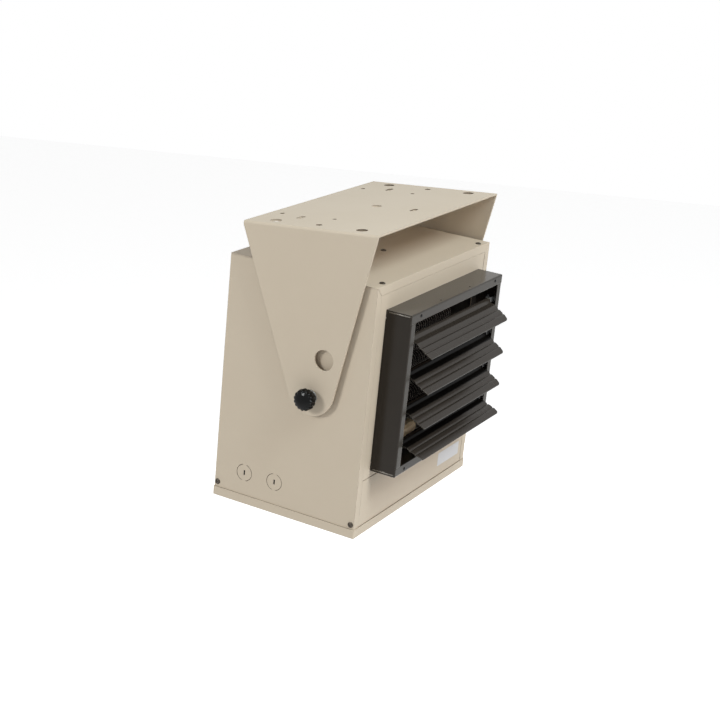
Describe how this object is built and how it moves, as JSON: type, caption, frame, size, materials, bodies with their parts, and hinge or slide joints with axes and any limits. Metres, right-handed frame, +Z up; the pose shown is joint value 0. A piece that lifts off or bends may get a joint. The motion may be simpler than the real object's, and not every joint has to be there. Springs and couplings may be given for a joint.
{
  "type": "ceiling mounted fan heater",
  "caption": "Sheet metal fan heater that tilts in a U-shaped ceiling bracket, with adjustable louvers over finned heating elements and a guarded fan at the rear.",
  "frame": {"origin": "on the ceiling plate's top face, on its left-right centre line, 40 mm in front of the central wiring hole and of the tilt pivot", "axes": "+Z up, normal to the ceiling plate; the louvers face -Y; +X is to the right for someone who stands in front of the heater and looks at the louvers; the tilt pivot runs along X"},
  "size_m": [0.4608, 0.3575, 0.4787],
  "materials": {
    "beige_paint": "satin powder coat",
    "bronze_paint": "satin powder coat",
    "black_knob": "gloss moulded",
    "zinc_steel": "zinc plated",
    "element_steel": "heat darkened",
    "guard_wire": "satin powder coat",
    "motor_paint": "satin paint",
    "fan_blade": "mill finish",
    "ceramic": "unglazed ceramic",
    "dark_plastic": "moulded"
  },
  "bodies": {
    "bracket": {"mounting_bracket": "beige_paint"},
    "heater": {"pivot_spacer_left": "zinc_steel", "pivot_spacer_right": "zinc_steel", "pivot_nut_left": "zinc_steel", "pivot_nut_right": "zinc_steel", "left_side_panel": "beige_paint", "right_side_panel": "beige_paint", "top_panel": "beige_paint", "upper_front_panel": "beige_paint", "lower_front_panel": "beige_paint", "bottom_pan": "beige_paint", "rear_panel": "beige_paint", "divider_shelf": "zinc_steel", "frame_rail_top": "bronze_paint", "frame_rail_bottom": "bronze_paint", "frame_stile_left": "bronze_paint", "frame_stile_right": "bronze_paint", "pivot_clip_left_1": "zinc_steel", "pivot_clip_right_1": "zinc_steel", "pivot_clip_left_2": "zinc_steel", "pivot_clip_right_2": "zinc_steel", "pivot_clip_left_3": "zinc_steel", "pivot_clip_right_3": "zinc_steel", "pivot_clip_left_4": "zinc_steel", "pivot_clip_right_4": "zinc_steel", "rear_guard": "guard_wire", "fan_shroud": "zinc_steel", "motor_shell": "motor_paint", "motor_bell_near": "motor_paint", "motor_bell_far": "motor_paint", "motor_strap": "zinc_steel", "heating_element_1": "element_steel", "heating_element_2": "element_steel", "heating_element_3": "element_steel", "heating_element_4": "element_steel", "element_upright_left": "zinc_steel", "element_upright_right": "zinc_steel", "sensor_rail": "zinc_steel", "limit_sensor": "ceramic", "control_plate": "zinc_steel", "terminal_block": "dark_plastic", "contactor": "dark_plastic", "fan_relay": "dark_plastic", "ground_lug": "zinc_steel"},
    "knob_left": {"pivot_knob_left": "black_knob", "pivot_stud_left": "zinc_steel", "pivot_washer_left": "zinc_steel"},
    "knob_right": {"pivot_knob_right": "black_knob", "pivot_stud_right": "zinc_steel", "pivot_washer_right": "zinc_steel"},
    "fan": {"fan_rotor": "fan_blade", "fan_collar": "zinc_steel", "motor_shaft": "zinc_steel"},
    "louver_1": {"louver_1": "bronze_paint"},
    "louver_2": {"louver_2": "bronze_paint"},
    "louver_3": {"louver_3": "bronze_paint"},
    "louver_4": {"louver_4": "bronze_paint"}
  },
  "joints": [
    {"name": "tilt", "type": "hinge", "parent": "bracket", "child": "heater", "pos_m": [0, 0.04, -0.259], "axis": [1, 0, 0], "range_deg": [-5.8, 84.2]},
    {"name": "knob_left_turn", "type": "hinge", "parent": "heater", "child": "knob_left", "pos_m": [-0.215, 0.04, -0.259], "axis": [-1, 0, 0], "range_deg": [0, 360]},
    {"name": "knob_right_turn", "type": "hinge", "parent": "heater", "child": "knob_right", "pos_m": [0.215, 0.04, -0.259], "axis": [1, 0, 0], "range_deg": [0, 360]},
    {"name": "fan_spin", "type": "hinge", "parent": "heater", "child": "fan", "pos_m": [0, 0.17197, -0.21243], "axis": [0, 0.9949, 0.1011], "continuous": true},
    {"name": "louver_1_turn", "type": "hinge", "parent": "heater", "child": "louver_1", "pos_m": [0, -0.09199, -0.16385], "axis": [1, 0, 0], "range_deg": [-41.5, 28.5]},
    {"name": "louver_2_turn", "type": "hinge", "parent": "heater", "child": "louver_2", "pos_m": [0, -0.0863, -0.21986], "axis": [1, 0, 0], "range_deg": [-41, 29]},
    {"name": "louver_3_turn", "type": "hinge", "parent": "heater", "child": "louver_3", "pos_m": [0, -0.08061, -0.27587], "axis": [1, 0, 0], "range_deg": [-39.2, 30.8]},
    {"name": "louver_4_turn", "type": "hinge", "parent": "heater", "child": "louver_4", "pos_m": [0, -0.07492, -0.33189], "axis": [1, 0, 0], "range_deg": [-29.5, 40.5]}
  ]
}
